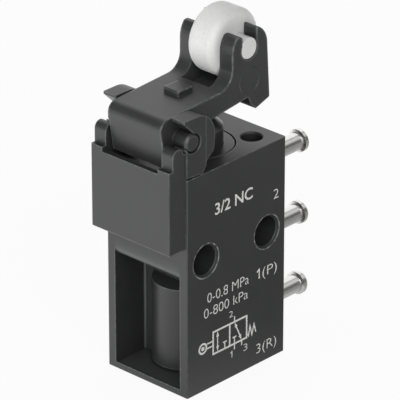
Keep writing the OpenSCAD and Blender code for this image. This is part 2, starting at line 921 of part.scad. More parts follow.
module guide_sleeve_seal() {
    color(rubber)
        seal(bore_d/2 - seal_r - seal_free, guide_seal_z);
}

module poppet_tube_seal() {
    color(rubber)
        seal(poppet_tube_d/2 + seal_r + seal_free, tube_seal_z);
}

// Hose barb with a pressed root, a plain shank and a rim behind its tapered nose
module hose_barb(z) {
    tip = back_y + barb_reach;
    rim = tip - barb_nose;
    rim_back = rim - barb_rim_land;
    root = back_y - barb_root_len;
    rim_slant = 0.15;
    edge_r = 0.3;
    color(nickel)
        translate([0, 0, z])
            rotate([-90, 0, 0])
                rotate_extrude()
                    polygon(rounded([
                        [barb_bore_d/2, root, 0],
                        [barb_root_d/2, root, edge_r],
                        [barb_root_d/2, back_y, 0],
                        [barb_shank_d/2, back_y, 0],
                        [barb_shank_d/2, rim_back - rim_slant, 0],
                        [barb_rim_d/2, rim_back, 0],
                        [barb_rim_d/2, rim, 0],
                        [barb_shank_d/2, tip, edge_r],
                        [barb_bore_d/2, tip, 0]]));
}

module port_1_barb() {
    hose_barb(port_z[0]);
}

module port_2_barb() {
    hose_barb(port_z[1]);
}

module port_3_barb() {
    hose_barb(port_z[2]);
}

valve_body();
lever_bracket();
roller_lever();
roller();
push_button();
valve_stem();
gland();
gland_seal();
stem_seal();
return_spring();
seat_insert();
seat_insert_seal();
poppet();
poppet_disc();
poppet_spring();
guide_sleeve();
guide_sleeve_seal();
poppet_tube_seal();
port_1_barb();
port_2_barb();
port_3_barb();
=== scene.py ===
"""Looks of a roller lever air valve: finishes, printed marks, springs and the studio."""

import json
import math

import bmesh
import bpy
from mathutils import Matrix, Vector


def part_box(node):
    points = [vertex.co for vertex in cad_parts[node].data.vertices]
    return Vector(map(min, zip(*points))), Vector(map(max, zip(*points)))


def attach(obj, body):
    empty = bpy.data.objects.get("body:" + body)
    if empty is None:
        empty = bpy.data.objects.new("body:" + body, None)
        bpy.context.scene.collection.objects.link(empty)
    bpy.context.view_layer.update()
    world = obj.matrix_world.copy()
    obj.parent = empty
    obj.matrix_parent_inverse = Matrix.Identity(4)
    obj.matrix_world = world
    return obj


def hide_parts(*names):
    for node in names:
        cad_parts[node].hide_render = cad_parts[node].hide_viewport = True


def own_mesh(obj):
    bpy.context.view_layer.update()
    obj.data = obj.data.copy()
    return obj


bl_info = {
    "name": "Roller lever air valve",
    "version": (1, 0, 0),
    "blender": (4, 5, 0),
    "location": "3D View > Sidebar > Air valve",
    "description": "Finishes, printed marks, springs and studio of a small roller lever air valve",
    "category": "Object",
}

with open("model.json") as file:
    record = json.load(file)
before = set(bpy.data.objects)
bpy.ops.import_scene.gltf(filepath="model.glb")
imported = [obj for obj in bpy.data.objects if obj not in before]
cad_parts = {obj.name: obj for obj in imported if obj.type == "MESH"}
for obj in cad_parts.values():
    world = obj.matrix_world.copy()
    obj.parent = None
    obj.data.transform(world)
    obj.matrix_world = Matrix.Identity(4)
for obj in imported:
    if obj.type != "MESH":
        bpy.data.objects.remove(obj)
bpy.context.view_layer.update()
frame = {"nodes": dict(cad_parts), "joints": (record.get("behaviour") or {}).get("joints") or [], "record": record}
MM = 0.001
NODES = frame["nodes"]
LABEL_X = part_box("valve_body")[1].x
ROLLER_LOW, ROLLER_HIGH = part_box("roller")
ROLLER_AXIS = (ROLLER_LOW + ROLLER_HIGH) / 2
SPRING_PLAY = 0.01 * MM

# Places that the finishes use, in millimetres; a rim, a mark, a corner and the column are two
# coordinates and a radius
BODY_SIDE = LABEL_X / MM
BODY_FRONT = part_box("valve_body")[0].y / MM
HOLES = next(mount for mount in frame["record"]["mounts"] if mount["name"] == "mounting_holes")
HOLE_CHAMFER = 0.45
HOLE_RIM = (
    HOLES["dims"]["spacing_x_mm"] / 2,
    HOLES["pos_m"][2] / MM,
    HOLES["dims"]["hole_r_mm"] + HOLE_CHAMFER,
)
POCKET_LOW, POCKET_HIGH = 1.1, 20.9
POCKET_HALF_WIDTH = BODY_SIDE - 1.75
POCKET_MOUTH, POCKET_BACK = BODY_FRONT + 0.35, BODY_FRONT + 7.15
POCKET_CORNER = (BODY_SIDE - 1.82, BODY_FRONT + 6.88, 0.0)
LIP_BACK, LIP_FADE = BODY_FRONT + 1.55, 3.5
COLUMN = (0.0, BODY_FRONT + 8.8, 5.4)
ROLLER_CENTRE = (ROLLER_AXIS.y / MM, ROLLER_AXIS.z / MM)
WELL_HALF_WIDTH = 3.05
WELL_FRONT, WELL_FLOOR = ROLLER_CENTRE[0] - 6.6, ROLLER_CENTRE[1] - 8.3
EJECTOR_MARK = (ROLLER_CENTRE[0], ROLLER_CENTRE[1] - 5.6, 2.25)

# Shades of the black mouldings, as shares of their plain colour: random clouds of tone, then
# painted light: highlights on edges, hole rims, the pocket's lip and corners, painted shade on
# hole chamfers, and painted light in the pocket and the well
CLOUD_SHADES = (0.84, 1.16)
PAINTED_EDGE_HIGHLIGHT, PAINTED_RIM_HIGHLIGHT, PAINTED_CHAMFER_SHADE = 8.0, 22.0, 0.5
PAINTED_LIP_HIGHLIGHT, PAINTED_CORNER_HIGHLIGHT, PAINTED_POCKET_LIGHT, PAINTED_WELL_LIGHT = 5.0, 4.5, 3.2, 3.0

# Camera solved on the photograph: its right and up directions, where it looks and from how far
CAMERA_RIGHT = Vector((0.7293, 0.6842, 0.0))
CAMERA_UP = Vector((-0.2980, 0.3177, 0.9001))
CAMERA_AIM = Vector((0.417, 0.391, 29.106)) * MM
CAMERA_DISTANCE = 0.670


# Property groups

def colour_property(name, description, default):
    return bpy.props.FloatVectorProperty(
        name=name, description=description, default=default,
        subtype="COLOR", size=3, min=0.0, max=1.0)


def length_property(name, description, default):
    return bpy.props.FloatProperty(
        name=name, description=description, default=default,
        subtype="DISTANCE", unit="LENGTH", precision=5, min=0.0)


def power_property(name, description, default):
    return bpy.props.FloatProperty(
        name=name, description=description, default=default, unit="POWER")


class ValveFinishes(bpy.types.PropertyGroup):
    """Colours and surface values of the valve's pieces"""

    body_colour: colour_property("Body", "Moulded plastic of the body", (0.020, 0.0204, 0.0208))
    bracket_colour: colour_property(
        "Bracket", "Moulded plastic of the lever's bracket", (0.0225, 0.0229, 0.0233))
    lever_colour: colour_property("Lever", "Moulded plastic of the lever", (0.022, 0.0224, 0.0228))
    button_colour: colour_property(
        "Button", "Moulded plastic of the button and its gland", (0.016, 0.0163, 0.0166))
    roller_colour: colour_property("Roller", "White acetal of the roller", (0.63, 0.63, 0.625))
    nickel_colour: colour_property(
        "Nickel", "Nickel plating of the hose barbs", (0.70, 0.695, 0.68))
    brass_colour: colour_property("Brass", "Turned brass of the inserts", (0.60, 0.46, 0.21))
    steel_colour: colour_property("Steel", "Stem and spring wire", (0.52, 0.53, 0.54))
    rubber_colour: colour_property("Rubber", "Ring seals and poppet disc", (0.018, 0.018, 0.019))
    poppet_colour: colour_property("Poppet", "Natural acetal of the poppet", (0.66, 0.63, 0.56))
    ink_colour: colour_property("Ink", "Printing on the label side", (0.62, 0.62, 0.61))
    plastic_roughness: bpy.props.FloatProperty(
        name="Plastic roughness", description="Roughness of the black mouldings",
        default=0.42, min=0.05, max=1.0, subtype="FACTOR")
    edge_radius: length_property("Edge radius", "Softening of the mouldings' edges", 0.16 * MM)


class ValveMarks(bpy.types.PropertyGroup):
    """Sizes of the printed marks"""

    ink_height: length_property(
        "Ink height", "How far the printing stands off the side", 0.012 * MM)
    box_line: length_property("Box line", "Line width of the symbol's box", 0.34 * MM)
    fine_line: length_property("Fine line", "Line width inside the symbol", 0.25 * MM)
    text_height: length_property("Text height", "Height of the figures", 1.86 * MM)
    small_text_height: length_property(
        "Small text height", "Height of the symbol's figures", 1.22 * MM)


class ValveStudio(bpy.types.PropertyGroup):
    """Floor, lamps and camera"""

    floor_colour: colour_property("Floor", "Colour of the floor", (0.86, 0.86, 0.86))
    floor_size: length_property("Floor size", "Side of the square floor", 4.0)
    front_power: power_property("Front", "Power of the low lamp at the front", 3.6)
    back_power: power_property("Back", "Power of the lamp at the back", 2.8)
    side_power: power_property("Side", "Power of the lamp on the label side", 7.5)
    ambient: bpy.props.FloatProperty(
        name="Ambient", description="Light from all round", default=0.25, min=0.0)
    lens: bpy.props.FloatProperty(
        name="Lens", description="Focal length of the camera", default=368.15,
        subtype="DISTANCE_CAMERA", unit="CAMERA")


# Shader expressions

class Value:
    """A shader socket that takes part in sums; each operation adds a Math node"""

    def __init__(self, tree, socket):
        self.tree = tree
        self.socket = socket

    def math(self, operation, *terms):
        node = self.tree.nodes.new("ShaderNodeMath")
        node.operation = operation
        for slot, term in zip(node.inputs, terms):
            feed(self.tree, slot, term)
        return Value(self.tree, node.outputs[0])

    def __add__(self, other):
        return self.math("ADD", self, other)

    def __radd__(self, other):
        return self.math("ADD", other, self)

    def __sub__(self, other):
        return self.math("SUBTRACT", self, other)

    def __rsub__(self, other):
        return self.math("SUBTRACT", other, self)

    def __mul__(self, other):
        return self.math("MULTIPLY", self, other)

    def __rmul__(self, other):
        return self.math("MULTIPLY", other, self)

    def __pow__(self, other):
        return self.math("POWER", self, other)

    def absolute(self):
        return self.math("ABSOLUTE", self)

    def least(self, other):
        return self.math("MINIMUM", self, other)

    def most(self, other):
        return self.math("MAXIMUM", self, other)

    def clamped(self):
        return self.most(0.0).least(1.0)

    def ramp(self, start, rate):
        """0 up to the start, then rising to 1 at a rate"""
        return ((self - start) * rate).clamped()


def feed(tree, slot, value):
    """Links a Value to a socket, or sets a plain value on it"""
    if isinstance(value, Value):
        tree.links.new(value.socket, slot)
    elif slot.type == "RGBA" and len(value) == 3:
        slot.default_value = (*value, 1.0)
    else:
        slot.default_value = value


def pick(sockets, name):
    """Socket by its identifier or its name"""
    for socket in sockets:
        if name in (socket.identifier, socket.name) and socket.enabled:
            return socket
    raise KeyError(name)


class Shading:
    """A node tree, with one method that makes any node"""

    def __init__(self, tree):
        self.tree = tree

    def node(self, kind, settings=None, sockets=None, out=0):
        """Makes a node, its settings before its sockets, and gives the output that out says"""
        made = self.tree.nodes.new(kind)
        for key, value in (settings or {}).items():
            setattr(made, key, value)
        for key, value in (sockets or {}).items():
            feed(self.tree, pick(made.inputs, key), value)
        if out == "all":
            return [Value(self.tree, socket) for socket in made.outputs]
        socket = made.outputs[out] if isinstance(out, int) else pick(made.outputs, out)
        return Value(self.tree, socket)

    def split(self, vector):
        """A vector's X, Y and Z"""
        return self.node("ShaderNodeSeparateXYZ", None, {"Vector": vector}, "all")

    def ray(self, kind):
        """1 for rays of one kind and 0 for others"""
        return self.node("ShaderNodeLightPath", out=kind)

    def mix(self, factor, first, second):
        return self.node(
            "ShaderNodeMix", {"data_type": "RGBA"},
            {"Factor_Float": factor, "A_Color": first, "B_Color": second}, "Result_Color")

    def mix_shaders(self, factor, first, second):
        return self.node(
            "ShaderNodeMixShader", None,
            {"Fac": factor, "Shader": first, "Shader_001": second})


class Finish(Shading):
    """A material with a Principled surface and a place in millimetres"""

    MASK_RATE = 10.0

    def __init__(self, name):
        self.material = bpy.data.materials.new(name)
        self.material.use_nodes = True
        super().__init__(self.material.node_tree)
        self.surface = self.tree.nodes["Principled BSDF"]
        place = self.node("ShaderNodeTexCoord", out="Object")
        self.place = self.node(
            "ShaderNodeVectorMath", {"operation": "SCALE"}, {"Vector": place, "Scale": 1 / MM})

    def axes(self):
        """The place's X, Y and Z, in millimetres"""
        return self.split(self.place)

    def joined(self, x, y, z):
        return self.node("ShaderNodeCombineXYZ", None, {"X": x, "Y": y, "Z": z})

    def noise(self, scale, detail, place=None):
        """Noise over the place, or over another vector"""
        return self.node(
            "ShaderNodeTexNoise", None,
            {"Vector": place or self.place, "Scale": scale, "Detail": detail}, "Fac")

    def reach(self, spot, along="X", both_sides=False):
        """Distance from a line along an axis through the spot, and from its mirror image"""
        first, second = (value for name, value in zip("XYZ", self.axes()) if name != along)
        across = (first.absolute() if both_sides else first) - spot[0]
        up = second - spot[1]
        return (across * across + up * up) ** 0.5

    def ring(self, spot, half_width, along="X", both_sides=False):
        """Mask that is 1 at the spot's radius and falls to 0 at half a width from it"""
        off = self.reach(spot, along, both_sides) - spot[2]
        return (1.0 - off.absolute() * (1.0 / half_width)).clamped()

    def above(self, value, low):
        """Mask that rises to 1 over a tenth of a millimetre past low"""
        return value.ramp(low, self.MASK_RATE)

    def below(self, value, high):
        """Mask that falls to 0 over a tenth of a millimetre short of high"""
        return ((high - value) * self.MASK_RATE).clamped()

    def between(self, value, low, high):
        """Mask that is 1 from low to high, with soft ends"""
        return self.above(value, low) * self.below(value, high)

    def soft_edge(self, radius):
        """Normal rounded over the edges, and a mask that is 1 on those that stand out"""
        feeler, first_sign, gain = radius * 1.6, 0.94, 2.2
        rounded = self.node("ShaderNodeBevel", {"samples": 6}, {"Radius": radius})
        depth = self.node(
            "ShaderNodeAmbientOcclusion", {"samples": 8, "inside": True, "only_local": True},
            {"Distance": feeler}, "AO")
        return rounded, ((first_sign - depth) * gain).clamped()

    def bump(self, height, strength, distance, normal=None):
        sockets = {"Height": height, "Strength": strength, "Distance": distance}
        if normal is not None:
            sockets["Normal"] = normal
        return self.node("ShaderNodeBump", None, sockets)

    def set(self, **values):
        """Feeds the surface: base_color=..., roughness=..., normal=..."""
        for key, value in values.items():
            name = key.replace("_", " ").title().replace("Ior", "IOR")
            feed(self.tree, pick(self.surface.inputs, name), value)
        return self.material


def tint(colour, share):
    """A colour made lighter or darker by a share"""
    return tuple(min(1.0, level * share) for level in colour)


def dress(material, *names):
    """Gives CAD nodes a material"""
    for name in names:
        slots = NODES[name].data.materials
        slots.clear()
        slots.append(material)


def finishes():
    return bpy.context.scene.valve_finishes


def well_mask(finish, margin):
    """Mask of the well under the roller, with a margin past its walls"""
    x, y, z = finish.axes()
    half = WELL_HALF_WIDTH + margin
    inside = finish.above(y, WELL_FRONT - margin) * finish.above(z, WELL_FLOOR)
    return inside * finish.between(x, -half, half)


def pocket_masks(finish):
    """Masks of the front pocket's painted light: a highlight on the lip over it and on its inner corners, and
    lighter depths
    """
    corner_half, column_half = 0.30, 0.3
    side_gap, low_gap, high_gap = 0.2, 0.2, 0.5
    x, y, z = finish.axes()
    fade = (1.0 - (z - POCKET_HIGH) * (1.0 / LIP_FADE)).clamped() ** 2.0
    front = finish.between(x, -POCKET_HALF_WIDTH, POCKET_HALF_WIDTH) * finish.below(y, LIP_BACK)
    lip = fade * front * finish.between(z, POCKET_HIGH, POCKET_HIGH + LIP_FADE)
    corner = finish.ring(POCKET_CORNER, corner_half, "Z", True)
    corner = corner * finish.between(z, POCKET_LOW, POCKET_HIGH)
    depth = finish.between(x, side_gap - POCKET_HALF_WIDTH, POCKET_HALF_WIDTH - side_gap)
    depth = depth * finish.between(y, POCKET_MOUTH, POCKET_BACK)
    depth = depth * finish.between(z, POCKET_LOW - low_gap, POCKET_HIGH - high_gap)
    depth = depth * (1.0 - finish.ring(COLUMN, column_half, "Z"))
    return lip, corner, depth


def moulded_plastic(name, colour, roughness, edge_radius, rim=None, dish=None, pocket=False,
                    well=False):
    """Satin black moulding: fine eroded grain, faint clouds of tone and softened edges, made paler
    by a painted highlight along with some wear

    rim and dish are (Y, Z, radius) in millimetres, seen along X: a pair of holes at +Y and -Y
    with dull chamfers darkened by painted shade and broken rims lit by a painted highlight, and a
    round mark that is sunk a little. pocket adds a painted highlight on the front pocket's lip and
    inner corners and painted light in its depths. well gives the well under the roller plain edges,
    without the painted edge highlight, and painted light in its depths
    """
    finish = Finish(name)
    cloud = finish.noise(scale=0.22, detail=3.0)
    rub = finish.noise(scale=1.1, detail=4.0)
    fine = finish.noise(scale=9.0, detail=4.0)
    normal, edge = finish.soft_edge(edge_radius)
    mottle = ((cloud * 0.5 + rub * 0.3 + fine * 0.2 - 0.5) * 2.5 + 0.5).clamped()
    glint = rub.ramp(start=0.44, rate=3.5)
    tone = finish.mix(mottle, *(tint(colour, shade) for shade in CLOUD_SHADES))
    if rim:
        chamfer_in, chamfer_out, dulling = rim[2] - 0.42, rim[2] - 0.06, 0.35
        chamfer = finish.between(finish.reach(rim, both_sides=True), chamfer_in, chamfer_out)
        edge = edge * (1.0 - chamfer)
        roughness = roughness + chamfer * dulling
    if well:
        edge_margin, depth_margin = 0.3, 0.05
        # Well under the roller: the painted edge highlight is taken off and its depths get painted light
        edge = edge * (1.0 - well_mask(finish, edge_margin) * 0.85)
        tone = finish.mix(well_mask(finish, depth_margin) * 0.6, tone, tint(colour, PAINTED_WELL_LIGHT))
    # Paler convex edges: painted highlight, broken up by noise, along with some wear
    tone_wear_and_painted_light = finish.mix(edge * (0.35 + glint * 0.65), tone, tint(colour, PAINTED_EDGE_HIGHLIGHT))
    if rim:
        rim_half = 0.15
        painted_rim_highlight = finish.ring(rim, rim_half, both_sides=True) * (0.10 + glint * 0.90)
        # Hole chamfers darkened as painted shade, hole rims lightened as a broken painted highlight
        tone_wear_and_painted_light = finish.mix(chamfer, tone_wear_and_painted_light, tint(colour, PAINTED_CHAMFER_SHADE))
        tone_wear_and_painted_light = finish.mix(painted_rim_highlight, tone_wear_and_painted_light, tint(colour, PAINTED_RIM_HIGHLIGHT))
    if pocket:
        lip, corner, depth = pocket_masks(finish)
        # Pocket: painted light in its depths, painted highlight on its lip and inner corners
        tone_wear_and_painted_light = finish.mix(depth * 0.5, tone_wear_and_painted_light, tint(colour, PAINTED_POCKET_LIGHT))
        tone_wear_and_painted_light = finish.mix(lip * (0.7 + mottle * 0.6), tone_wear_and_painted_light, tint(colour, PAINTED_LIP_HIGHLIGHT))
        tone_wear_and_painted_light = finish.mix(corner, tone_wear_and_painted_light, tint(colour, PAINTED_CORNER_HIGHLIGHT))
    if dish:
        step = finish.reach(dish).ramp(start=dish[2], rate=7.0)
        normal = finish.bump(step, strength=1.0, distance=0.12 * MM, normal=normal)
    return finish.set(
        base_color=tone_wear_and_painted_light,
        roughness=(roughness - 0.08 + mottle * 0.08 + fine * 0.08 - edge * 0.08).clamped(),
        ior=1.58,
        normal=finish.bump(fine, strength=0.35, distance=0.006 * MM, normal=normal))


def white_acetal(name, colour, edge_radius):
    """Roller's acetal: faint turning rings round its axis and handling marks on the tread"""
    finish = Finish(name)
    lines = 5.0
    across = finish.axes()[0] * lines
    turned = finish.joined(across, finish.reach(ROLLER_CENTRE) * lines, 0.0)
    rings = finish.noise(scale=1.0, detail=3.0, place=turned)
    cloud = finish.noise(scale=0.3, detail=3.0)
    marks = finish.noise(scale=2.2, detail=5.0).ramp(start=0.52, rate=5.0)
    normal, edge = finish.soft_edge(edge_radius)
    clean = finish.mix(
        (cloud * 0.6 + rings * 0.4).clamped(), tint(colour, 0.97), tint(colour, 1.04))
    return finish.set(
        base_color=finish.mix(marks * 0.35, clean, tint(colour, 0.75)),
        roughness=(0.34 + rings * 0.10 + marks * 0.08 - edge * 0.04).clamped(),
        ior=1.48,
        normal=finish.bump(rings, strength=0.12, distance=0.008 * MM, normal=normal))


def turned_metal(name, colour, roughness, axis, lines=14.0):
    """Turned metal: fine tool lines along its axis and faint clouding of the plating"""
    finish = Finish(name)
    along = finish.axes()["XYZ".index(axis)]
    line = finish.noise(scale=1.0, detail=3.0, place=finish.joined(along * lines, 0.0, 0.0))
    cloud = finish.noise(scale=0.8, detail=3.0)
    return finish.set(
        base_color=finish.mix(
            (line * 0.5 + cloud * 0.5).clamped(), tint(colour, 0.9), tint(colour, 1.08)),
        metallic=1.0,
        roughness=(roughness - 0.05 + line * 0.06 + cloud * 0.05).clamped(),
        normal=finish.bump(line, strength=0.12, distance=0.004 * MM))


def seal_rubber(name, colour):
    """Moulded rubber with a dull bloom"""
    finish = Finish(name)
    bloom = finish.noise(scale=1.6, detail=4.0)
    fine = finish.noise(scale=12.0, detail=2.0)
    return finish.set(
        base_color=finish.mix(bloom, tint(colour, 0.8), tint(colour, 1.5)),
        roughness=(0.55 + bloom * 0.2).clamped(),
        normal=finish.bump(fine, strength=0.3, distance=0.006 * MM))


def natural_acetal(name, colour):
    """Unpigmented acetal with faint flow marks"""
    finish = Finish(name)
    flow = finish.noise(scale=0.9, detail=4.0)
    return finish.set(
        base_color=finish.mix(flow, tint(colour, 0.94), tint(colour, 1.05)),
        roughness=(0.36 + flow * 0.12).clamped(),
        normal=finish.bump(flow, strength=0.1, distance=0.01 * MM))


def pad_ink(name, colour):
    """Pad-printed ink, thinner in places"""
    finish = Finish(name)
    thin = finish.noise(scale=4.0, detail=3.0)
    return finish.set(
        base_color=finish.mix(thin, tint(colour, 0.82), tint(colour, 1.1)),
        roughness=(0.45 + thin * 0.15).clamped(),
        normal=finish.bump(thin, strength=0.1, distance=0.004 * MM))


# Meshes

def new_piece(name, mesh, material, body):
    """Piece of the scene that rides on a body"""
    piece = bpy.data.objects.new(name, mesh)
    bpy.context.scene.collection.objects.link(piece)
    mesh.materials.clear()
    mesh.materials.append(material)
    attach(piece, body)
    return piece


def mesh_from(name, points, faces, smooth=False):
    """Mesh of faces whose corners run anticlockwise, seen from outside"""
    mesh = bpy.data.meshes.new(name)
    mesh.from_pydata([tuple(point) for point in points], [], faces)
    for face in mesh.polygons:
        face.use_smooth = smooth
    return mesh


def coil(name, low, high, turns, wire):
    """Compression spring that fills a box, with closed and ground ends"""
    sides, steps = 14, 40
    count = int(turns * steps)
    middle = (high.x - low.x) / 2 - wire / 2
    rise = high.z - low.z - wire

    def lift(turned):
        pitch = min(max((turned - 1) / (turns - 2), 0), 1) * rise
        first_end = min(turned, 1) * wire / 2
        last_end = min(max(turned - turns + 1, 0), 1) * wire / 2
        return pitch + first_end + last_end

    points = []
    for step in range(count + 1):
        turn = 2 * math.pi * step / steps
        for side in range(sides):
            angle = 2 * math.pi * side / sides
            radius = middle + wire / 2 * math.cos(angle)
            z = low.z + lift(step / steps) + wire / 2 * math.sin(angle)
            z = min(max(z, low.z), high.z)
            points.append((radius * math.cos(turn), radius * math.sin(turn), z))
    faces = [
        (step * sides + side, (step + 1) * sides + side,
         (step + 1) * sides + (side + 1) % sides, step * sides + (side + 1) % sides)
        for step in range(count) for side in range(sides)]
    faces.append(tuple(range(sides)))
    faces.append(tuple(count * sides + side for side in reversed(range(sides))))
    return mesh_from(name, points, faces, smooth=True)


def circle(centre, radius, steps):
    """Corners round a circle, in Y and Z"""
    turns = [2 * math.pi * step / steps for step in range(steps)]
    return [(centre[0] + radius * math.cos(turn), centre[1] + radius * math.sin(turn))
            for turn in turns]


class InkSheet:
    """Flat marks on the label side, drawn in Y and Z, each a closed thin slab of ink"""

    def __init__(self, ink_height):
        self.low_x = LABEL_X - ink_height
        self.high_x = LABEL_X + ink_height
        self.points = []
        self.faces = []

    def slab(self, outline):
        """Adds the inside of an outline"""
        start, count = len(self.points), len(outline)
        sides = zip(outline, outline[1:] + outline[:1])
        if sum(a[0] * b[1] - b[0] * a[1] for a, b in sides) < 0:
            outline = outline[::-1]
        for x in (self.low_x, self.high_x):
            self.points.extend((x, y, z) for y, z in outline)
        self.faces.append(tuple(reversed(range(start, start + count))))
        self.faces.append(tuple(range(start + count, start + 2 * count)))
        for i in range(count):
            j = (i + 1) % count
            self.faces.append((start + i, start + j, start + count + j, start + count + i))

    def line(self, path, width):
        """Adds an open line, mitred at its corners"""
        sharpest = 0.2
        path = [Vector(point) for point in path]
        left, right = [], []
        for i, point in enumerate(path):
            before = (point - path[i - 1]).normalized() if i else None
            after = (path[i + 1] - point).normalized() if i + 1 < len(path) else None
            before, after = before or after, after or before
            normal = Vector((-(before.y + after.y), before.x + after.x)).normalized()
            reach = width / 2 / max(sharpest, normal.dot(Vector((-before.y, before.x))))
            left.append(point + normal * reach)
            right.append(point - normal * reach)
        self.slab(left + right[::-1])

    def ring(self, centre, outer, inner):
        """Adds a flat ring"""
        steps = 40
        start = len(self.points)
        for x in (self.low_x, self.high_x):
            for radius in (outer, inner):
                self.points.extend((x, y, z) for y, z in circle(centre, radius, steps))
        low_out, low_in, high_out, high_in = (start + row * steps for row in range(4))
        for i in range(steps):
            j = (i + 1) % steps
            for first, second in ((low_in, low_out), (high_out, high_in),
                                  (low_out, high_out), (high_in, low_in)):
                self.faces.append((first + i, first + j, second + j, second + i))

    def piece(self, name, ink):
        mesh = mesh_from(name, self.points, self.faces)
        return new_piece(name, mesh, ink, "housing")


def printed_text(name, words, left, base, height, width, weight, ink_height):
    """Mesh of a line of figures on the label side, fitted to a height and a width"""
    figure_height, weld = 0.729, 1e-5
    curve = bpy.data.curves.new(name, "FONT")
    curve.body = words
    curve.extrude = 0.5
    curve.offset = weight
    curve.resolution_u = 6
    holder = bpy.data.objects.new(name, curve)
    bpy.context.scene.collection.objects.link(holder)
    bpy.context.view_layer.update()
    mesh = bpy.data.meshes.new_from_object(
        holder.evaluated_get(bpy.context.evaluated_depsgraph_get()))
    bpy.data.objects.remove(holder)
    bpy.data.curves.remove(curve)
    shape = bmesh.new()
    shape.from_mesh(mesh)
    bmesh.ops.remove_doubles(shape, verts=shape.verts, dist=weld)
    places = [corner.co.x for corner in shape.verts]
    first, last = min(places), max(places)
    across = width / (last - first)
    for corner in shape.verts:
        corner.co = Vector((
            LABEL_X + ink_height if corner.co.z > 0 else LABEL_X - ink_height,
            left + (corner.co.x - first) * across,
            base + corner.co.y * height / figure_height))
    shape.to_mesh(mesh)
    shape.free()
    mesh.name = name
    return mesh


# Operators

class VALVE_OT_mouldings(bpy.types.Operator):
    """Finish the body, bracket, lever, button and gland as black mouldings"""

    bl_idname = "valve.mouldings"
    bl_label = "Black mouldings"

    def execute(self, context):
        looks = finishes()
        satin, edge = looks.plastic_roughness, looks.edge_radius
        lever_edge, button_satin = edge * 1.7, satin - 0.06
        dress(
            moulded_plastic("body plastic", tuple(looks.body_colour), satin, edge,
                            rim=HOLE_RIM, pocket=True),
            "valve_body")
        dress(
            moulded_plastic("bracket plastic", tuple(looks.bracket_colour), satin, edge),
            "lever_bracket")
        dress(
            moulded_plastic("lever plastic", tuple(looks.lever_colour), satin, lever_edge,
                            dish=EJECTOR_MARK, well=True),
            "roller_lever")
        dress(
            moulded_plastic("button plastic", tuple(looks.button_colour), button_satin, edge),
            "push_button", "gland")
        return {"FINISHED"}


class VALVE_OT_roller(bpy.types.Operator):
    """Finish the roller as white acetal"""

    bl_idname = "valve.roller"
    bl_label = "Roller"

    def execute(self, context):
        looks = finishes()
        dress(
            white_acetal("roller acetal", tuple(looks.roller_colour), looks.edge_radius),
            "roller")
        return {"FINISHED"}


class VALVE_OT_metals(bpy.types.Operator):
    """Finish the hose barbs, the stem and the brass inserts"""

    bl_idname = "valve.metals"
    bl_label = "Turned metals"

    def execute(self, context):
        looks = finishes()
        dress(
            turned_metal("barb nickel", tuple(looks.nickel_colour), roughness=0.24, axis="Y"),
            "port_1_barb", "port_2_barb", "port_3_barb")
        dress(
            turned_metal("insert brass", tuple(looks.brass_colour), roughness=0.26, axis="Z"),
            "seat_insert", "guide_sleeve")
        dress(
            turned_metal("stem steel", tuple(looks.steel_colour), roughness=0.2, axis="Z"),
            "valve_stem")
        return {"FINISHED"}


class VALVE_OT_seals(bpy.types.Operator):
    """Finish the ring seals, the poppet and its disc"""

    bl_idname = "valve.seals"
    bl_label = "Seals and poppet"

    def execute(self, context):
        looks = finishes()
        dress(
            seal_rubber("seal rubber", tuple(looks.rubber_colour)),
            "gland_seal", "stem_seal", "seat_insert_seal", "guide_sleeve_seal",
            "poppet_tube_seal", "poppet_disc")
        dress(natural_acetal("poppet acetal", tuple(looks.poppet_colour)), "poppet")
        return {"FINISHED"}


class VALVE_OT_springs(bpy.types.Operator):
    """Make the two springs at their full height; the share of it left with the button down is worked out and not
    used
    """

    bl_idname = "valve.springs"
    bl_label = "Springs"

    def execute(self, context):
        wire_steel = turned_metal(
            "spring steel", tuple(finishes().steel_colour), roughness=0.28, axis="Z", lines=3.0)
        for node, turns, wire, joint in (
                ("return_spring", 5, 0.5 * MM, "plunger_slide"),
                ("poppet_spring", 5.5, 0.35 * MM, "poppet_slide")):
            low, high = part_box(node)
            mesh = coil(node + "_coil", low, high, turns, wire)
            piece = new_piece(node + "_coil", mesh, wire_steel, "housing")
            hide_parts(node)
            travel = next(j for j in frame["joints"] if j["name"] == joint)["range_m"][1]
            height = high.z - low.z
            (height - travel - SPRING_PLAY) / height
            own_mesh(piece)
        return {"FINISHED"}


